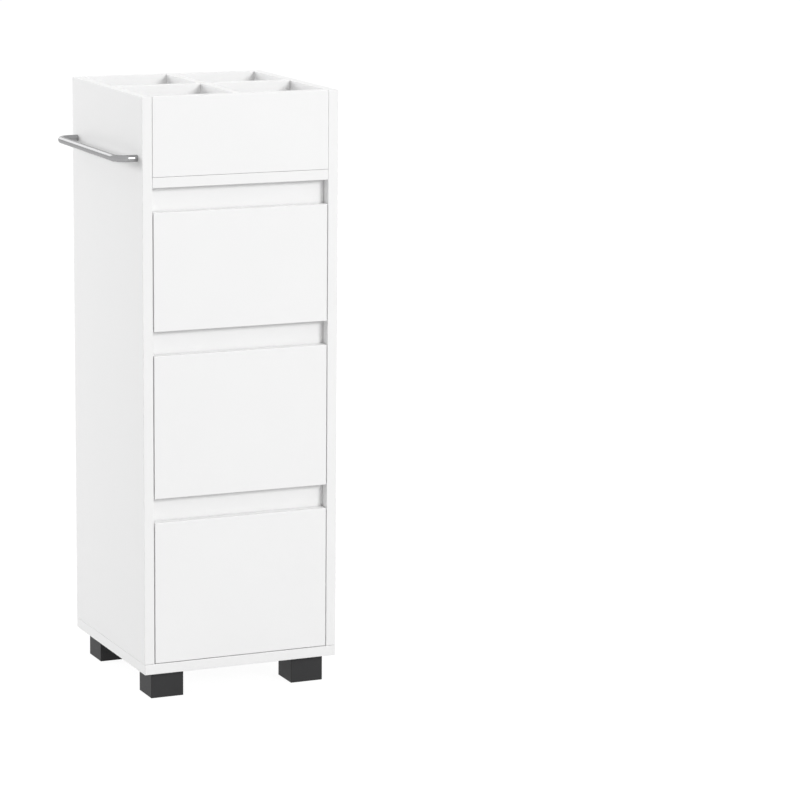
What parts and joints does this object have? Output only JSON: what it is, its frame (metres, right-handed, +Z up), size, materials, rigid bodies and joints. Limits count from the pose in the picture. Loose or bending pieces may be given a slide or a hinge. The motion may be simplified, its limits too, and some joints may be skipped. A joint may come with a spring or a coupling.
{
  "type": "bathroom cabinet",
  "caption": "Slim upright white bathroom cabinet on square feet, with handleless sliding drawers on roller runners, a divided open tray on top and a towel rail on one side.",
  "frame": {"origin": "floor level, under the centre of the carcass footprint; the towel rail is outside that footprint", "axes": "+Z up, the drawers open towards -Y, the towel rail is on the -X side"},
  "size_m": [0.335, 0.3, 0.88],
  "materials": {
    "white_board": "satin white melamine on chipboard",
    "white_hardboard": "white lacquered hardboard",
    "rail_steel": "satin stainless steel",
    "foot_plastic": "matt charcoal moulding",
    "runner_steel": "white epoxy coat",
    "roller_nylon": "natural nylon",
    "fastener_steel": "zinc plated",
    "dowel_beech": "plain beech"
  },
  "bodies": {
    "cabinet": {"back_panel": "white_hardboard", "bottom_panel": "white_board", "carcass_cam_fittings": "fastener_steel", "carcass_dowels": "dowel_beech", "carcass_screws": "fastener_steel", "foot_screws": "fastener_steel", "front_left_foot": "foot_plastic", "front_right_foot": "foot_plastic", "left_side_panel": "white_board", "lower_grip_rail": "white_board", "lower_left_cabinet_runner": "runner_steel", "lower_right_cabinet_runner": "runner_steel", "middle_grip_rail": "white_board", "middle_left_cabinet_runner": "runner_steel", "middle_right_cabinet_runner": "runner_steel", "rear_left_foot": "foot_plastic", "rear_right_foot": "foot_plastic", "right_side_panel": "white_board", "runner_screws": "fastener_steel", "towel_rail": "rail_steel", "towel_rail_screws": "fastener_steel", "tray_back_panel": "white_board", "tray_cross_divider": "white_board", "tray_floor": "white_board", "tray_front_panel": "white_board", "tray_long_divider": "white_board", "upper_grip_rail": "white_board", "upper_left_cabinet_runner": "runner_steel", "upper_right_cabinet_runner": "runner_steel"},
    "lower_drawer": {"lower_drawer_back": "white_board", "lower_drawer_bottom": "white_hardboard", "lower_drawer_fasteners": "fastener_steel", "lower_drawer_front": "white_board", "lower_drawer_left_side": "white_board", "lower_drawer_right_side": "white_board", "lower_left_drawer_runner": "runner_steel", "lower_right_drawer_runner": "runner_steel"},
    "lower_front_roller_pair": {"lower_front_rollers": "roller_nylon"},
    "lower_rear_roller_pair": {"lower_rear_rollers": "roller_nylon"},
    "middle_drawer": {"middle_drawer_back": "white_board", "middle_drawer_bottom": "white_hardboard", "middle_drawer_fasteners": "fastener_steel", "middle_drawer_front": "white_board", "middle_drawer_left_side": "white_board", "middle_drawer_right_side": "white_board", "middle_left_drawer_runner": "runner_steel", "middle_right_drawer_runner": "runner_steel"},
    "middle_front_roller_pair": {"middle_front_rollers": "roller_nylon"},
    "middle_rear_roller_pair": {"middle_rear_rollers": "roller_nylon"},
    "upper_drawer": {"upper_drawer_back": "white_board", "upper_drawer_bottom": "white_hardboard", "upper_drawer_fasteners": "fastener_steel", "upper_drawer_front": "white_board", "upper_drawer_left_side": "white_board", "upper_drawer_right_side": "white_board", "upper_left_drawer_runner": "runner_steel", "upper_right_drawer_runner": "runner_steel"},
    "upper_front_roller_pair": {"upper_front_rollers": "roller_nylon"},
    "upper_rear_roller_pair": {"upper_rear_rollers": "roller_nylon"}
  },
  "joints": [
    {"name": "lower_drawer_slide", "type": "slide", "parent": "cabinet", "child": "lower_drawer", "axis": [0, -1, 0], "range_m": [0, 0.19]},
    {"name": "lower_front_roller_spin", "type": "hinge", "parent": "cabinet", "child": "lower_front_roller_pair", "pos_m": [0, -0.121, 0.0795], "axis": [1, 0, 0], "range_deg": [0, 1361]},
    {"name": "lower_rear_roller_spin", "type": "hinge", "parent": "lower_drawer", "child": "lower_rear_roller_pair", "pos_m": [0, 0.108, 0.0795], "axis": [1, 0, 0], "range_deg": [0, 1361]},
    {"name": "middle_drawer_slide", "type": "slide", "parent": "cabinet", "child": "middle_drawer", "axis": [0, -1, 0], "range_m": [0, 0.19]},
    {"name": "middle_front_roller_spin", "type": "hinge", "parent": "cabinet", "child": "middle_front_roller_pair", "pos_m": [0, -0.121, 0.32325], "axis": [1, 0, 0], "range_deg": [0, 1361]},
    {"name": "middle_rear_roller_spin", "type": "hinge", "parent": "middle_drawer", "child": "middle_rear_roller_pair", "pos_m": [0, 0.108, 0.32325], "axis": [1, 0, 0], "range_deg": [0, 1361]},
    {"name": "upper_drawer_slide", "type": "slide", "parent": "cabinet", "child": "upper_drawer", "axis": [0, -1, 0], "range_m": [0, 0.19]},
    {"name": "upper_front_roller_spin", "type": "hinge", "parent": "cabinet", "child": "upper_front_roller_pair", "pos_m": [0, -0.121, 0.567], "axis": [1, 0, 0], "range_deg": [0, 1361]},
    {"name": "upper_rear_roller_spin", "type": "hinge", "parent": "upper_drawer", "child": "upper_rear_roller_pair", "pos_m": [0, 0.108, 0.567], "axis": [1, 0, 0], "range_deg": [0, 1361]}
  ],
  "couplings": [
    {"joint": "lower_front_roller_spin", "follows": "lower_drawer_slide", "rad_per_m": 125},
    {"joint": "lower_rear_roller_spin", "follows": "lower_drawer_slide", "rad_per_m": 125},
    {"joint": "middle_front_roller_spin", "follows": "middle_drawer_slide", "rad_per_m": 125},
    {"joint": "middle_rear_roller_spin", "follows": "middle_drawer_slide", "rad_per_m": 125},
    {"joint": "upper_front_roller_spin", "follows": "upper_drawer_slide", "rad_per_m": 125},
    {"joint": "upper_rear_roller_spin", "follows": "upper_drawer_slide", "rad_per_m": 125}
  ]
}
